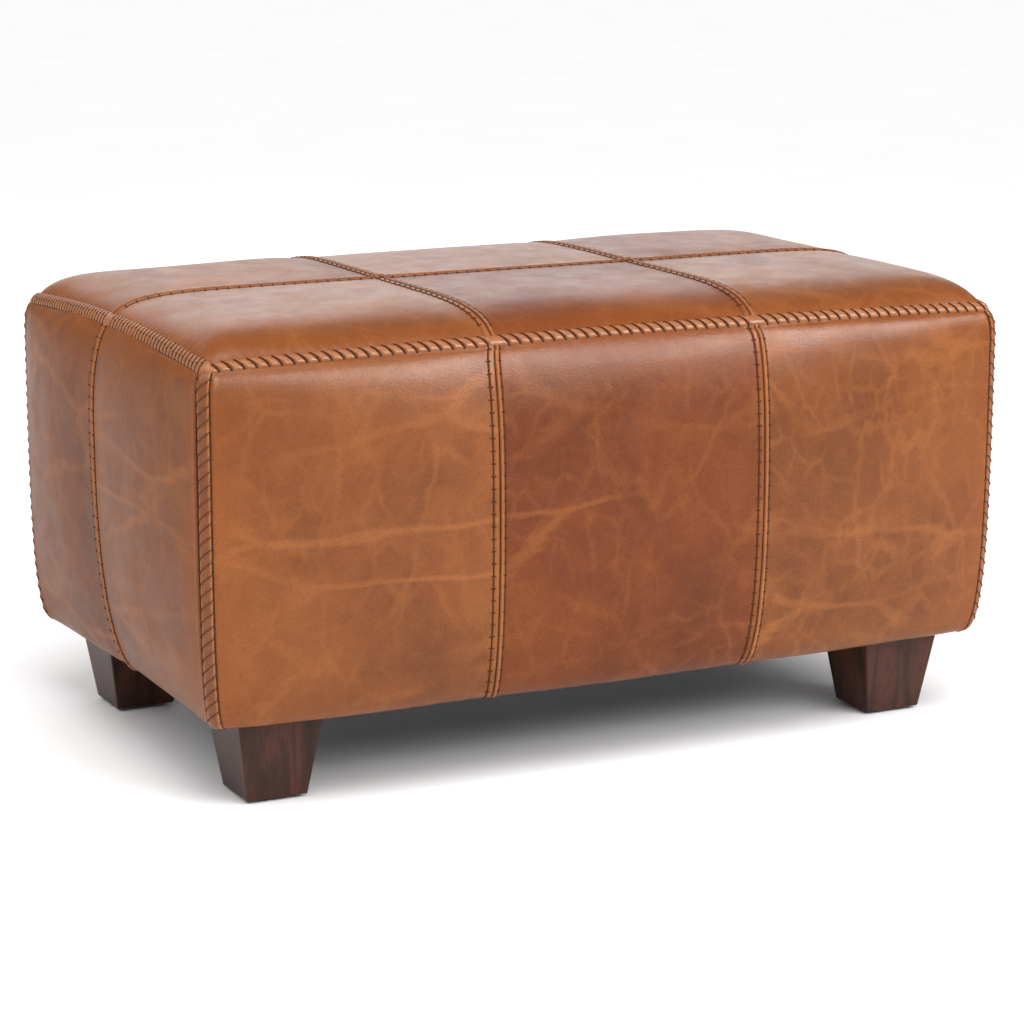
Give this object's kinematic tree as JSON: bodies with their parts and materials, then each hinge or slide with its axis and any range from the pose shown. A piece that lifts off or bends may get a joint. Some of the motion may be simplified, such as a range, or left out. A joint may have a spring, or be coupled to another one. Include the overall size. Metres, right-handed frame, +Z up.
{
  "type": "leather ottoman",
  "caption": "Rectangular panelled leather ottoman, laced along its edges, on tapered walnut block feet.",
  "frame": {"origin": "on the floor under the middle of the ottoman, level with the undersides of the glides", "axes": "+X along the long side to the right, +Y to the back, +Z up"},
  "size_m": [0.918, 0.568, 0.471],
  "materials": {
    "leather": "waxed pull-up, semi-gloss",
    "welt_leather": "waxed pull-up, semi-gloss",
    "walnut": "stained, satin",
    "glide": "matt",
    "steel": "zinc plated",
    "dust_cloth": "non-woven cloth",
    "pine": "sawn",
    "board": "plain",
    "webbing": "woven jute",
    "foam": "open-cell foam",
    "wadding": "polyester wadding"
  },
  "bodies": {
    "root": {"foot_front_left": "walnut", "foot_front_right": "walnut", "foot_back_left": "walnut", "foot_back_right": "walnut", "floor_glides": "glide", "hanger_bolts": "steel", "tee_nuts": "steel", "dust_cover": "dust_cloth", "dust_cover_staples": "steel", "base_rail_front": "pine", "base_rail_back": "pine", "base_rail_left": "pine", "base_rail_right": "pine", "base_cross_rail": "pine", "corner_blocks": "pine", "corner_posts": "pine", "top_rail_front": "pine", "top_rail_back": "pine", "top_rail_left": "pine", "top_rail_right": "pine", "rail_screws": "steel", "side_board_front": "board", "side_board_back": "board", "side_board_left": "board", "side_board_right": "board", "long_webbing": "webbing", "cross_webbing": "webbing", "webbing_staples": "steel", "seat_foam": "foam", "seat_wadding": "wadding", "front_foam": "foam", "back_foam": "foam", "left_foam": "foam", "right_foam": "foam", "top_panel_front_left": "leather", "top_panel_front_centre": "leather", "top_panel_front_right": "leather", "top_panel_back_left": "leather", "top_panel_back_centre": "leather", "top_panel_back_right": "leather", "front_panel_left": "leather", "front_panel_centre": "leather", "front_panel_right": "leather", "back_panel_left": "leather", "back_panel_centre": "leather", "back_panel_right": "leather", "left_panel_front": "leather", "left_panel_back": "leather", "right_panel_front": "leather", "right_panel_back": "leather", "top_welt_front": "welt_leather", "top_welt_back": "welt_leather", "top_welt_left": "welt_leather", "top_welt_right": "welt_leather", "corner_welt_front_left": "welt_leather", "corner_welt_front_right": "welt_leather", "corner_welt_back_left": "welt_leather", "corner_welt_back_right": "welt_leather"}
  },
  "joints": []
}
